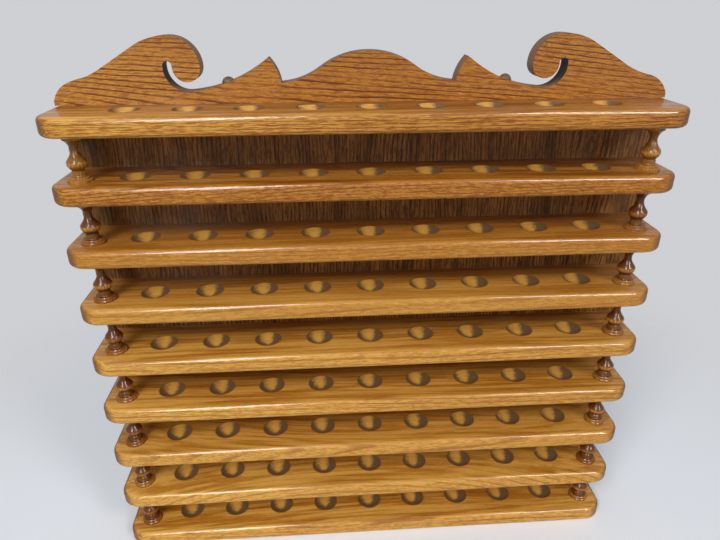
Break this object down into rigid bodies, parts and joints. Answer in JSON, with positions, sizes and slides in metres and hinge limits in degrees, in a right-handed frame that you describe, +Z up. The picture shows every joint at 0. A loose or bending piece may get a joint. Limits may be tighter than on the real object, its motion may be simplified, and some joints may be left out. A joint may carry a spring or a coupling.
{
  "type": "golf ball display shelf",
  "caption": "Standing or wall-backed wooden display rack: shelves with dished ball seats, turned corner spindles, a back panel and a scroll-cut crest board.",
  "frame": {"origin": "middle of the footprint, on the surface that the rack stands on", "axes": "+Z up, +X to the right seen from the front, -Y towards the viewer and +Y towards the wall"},
  "size_m": [0.605, 0.0826, 0.589],
  "materials": {
    "board_oak": "gloss varnish over honey oak",
    "turned_oak": "gloss varnish over reddish oak",
    "panel_oak": "satin varnish, grain upright",
    "peg_wood": "dark end grain, varnished",
    "screw_steel": "zinc plated"
  },
  "bodies": {
    "root": {"shelf_1": "board_oak", "shelf_2": "board_oak", "shelf_3": "board_oak", "shelf_4": "board_oak", "shelf_5": "board_oak", "shelf_6": "board_oak", "shelf_7": "board_oak", "shelf_8": "board_oak", "shelf_9": "board_oak", "spindle_left_1": "turned_oak", "spindle_right_1": "turned_oak", "spindle_left_2": "turned_oak", "spindle_right_2": "turned_oak", "spindle_left_3": "turned_oak", "spindle_right_3": "turned_oak", "spindle_left_4": "turned_oak", "spindle_right_4": "turned_oak", "spindle_left_5": "turned_oak", "spindle_right_5": "turned_oak", "spindle_left_6": "turned_oak", "spindle_right_6": "turned_oak", "spindle_left_7": "turned_oak", "spindle_right_7": "turned_oak", "spindle_left_8": "turned_oak", "spindle_right_8": "turned_oak", "back_panel": "panel_oak", "crest_board": "board_oak", "crest_peg_left": "peg_wood", "crest_peg_right": "peg_wood", "panel_screws": "screw_steel", "top_screws": "screw_steel"}
  },
  "joints": []
}
